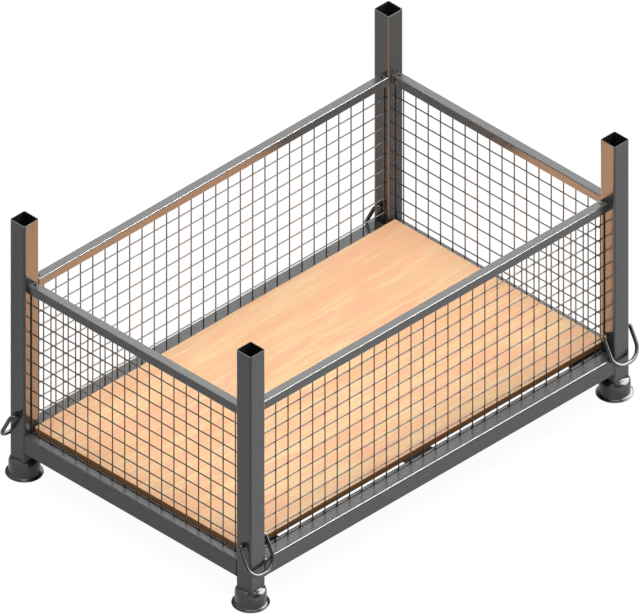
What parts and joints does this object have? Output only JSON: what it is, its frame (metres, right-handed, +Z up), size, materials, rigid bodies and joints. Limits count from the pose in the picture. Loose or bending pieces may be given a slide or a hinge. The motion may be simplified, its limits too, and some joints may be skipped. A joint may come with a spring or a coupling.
{
  "type": "mesh box pallet",
  "caption": "Stackable box pallet: square steel tube frame on round cup feet, welded wire mesh walls, plywood floor and a swinging lifting bail at each corner post.",
  "frame": {"origin": "on the ground under the middle of the floor", "axes": "+X along the long sides, +Y from the front long side to the rear one, +Z up"},
  "size_m": [1.608, 1.032, 0.89],
  "materials": {
    "painted_steel": "dark grey gloss paint",
    "mesh_wire": "dark grey gloss paint over round wire",
    "bail_bar": "dark grey paint, shiny along its top",
    "plywood": "pale clear-coated plywood, darker at its sawn edges"
  },
  "bodies": {
    "frame": {"corner_post_front_left": "painted_steel", "corner_post_front_right": "painted_steel", "corner_post_rear_left": "painted_steel", "corner_post_rear_right": "painted_steel", "cup_foot_front_left": "painted_steel", "cup_foot_front_right": "painted_steel", "cup_foot_rear_left": "painted_steel", "cup_foot_rear_right": "painted_steel", "base_rail_front": "painted_steel", "base_rail_rear": "painted_steel", "base_rail_left": "painted_steel", "base_rail_right": "painted_steel", "base_cross_member": "painted_steel", "corner_gusset_front_left": "painted_steel", "corner_gusset_front_right": "painted_steel", "corner_gusset_rear_left": "painted_steel", "corner_gusset_rear_right": "painted_steel", "top_rail_front": "painted_steel", "top_rail_rear": "painted_steel", "top_rail_left": "painted_steel", "top_rail_right": "painted_steel", "mesh_panel_front": "mesh_wire", "mesh_panel_rear": "mesh_wire", "mesh_panel_left": "mesh_wire", "mesh_panel_right": "mesh_wire", "floor_board": "plywood"},
    "bail_front_left": {"lifting_bail_front_left": "bail_bar"},
    "bail_front_right": {"lifting_bail_front_right": "bail_bar"},
    "bail_rear_left": {"lifting_bail_rear_left": "bail_bar"},
    "bail_rear_right": {"lifting_bail_rear_right": "bail_bar"}
  },
  "joints": [
    {"name": "bail_swing_front_left", "type": "hinge", "parent": "frame", "child": "bail_front_left", "pos_m": [-0.734, -0.46, 0.2175], "axis": [-1, 0, 0], "range_deg": [0, 129]},
    {"name": "bail_swing_front_right", "type": "hinge", "parent": "frame", "child": "bail_front_right", "pos_m": [0.746, -0.46, 0.2175], "axis": [-1, 0, 0], "range_deg": [0, 129]},
    {"name": "bail_swing_rear_left", "type": "hinge", "parent": "frame", "child": "bail_rear_left", "pos_m": [-0.746, 0.46, 0.2175], "axis": [1, 0, 0], "range_deg": [0, 129]},
    {"name": "bail_swing_rear_right", "type": "hinge", "parent": "frame", "child": "bail_rear_right", "pos_m": [0.734, 0.46, 0.2175], "axis": [1, 0, 0], "range_deg": [0, 129]}
  ]
}
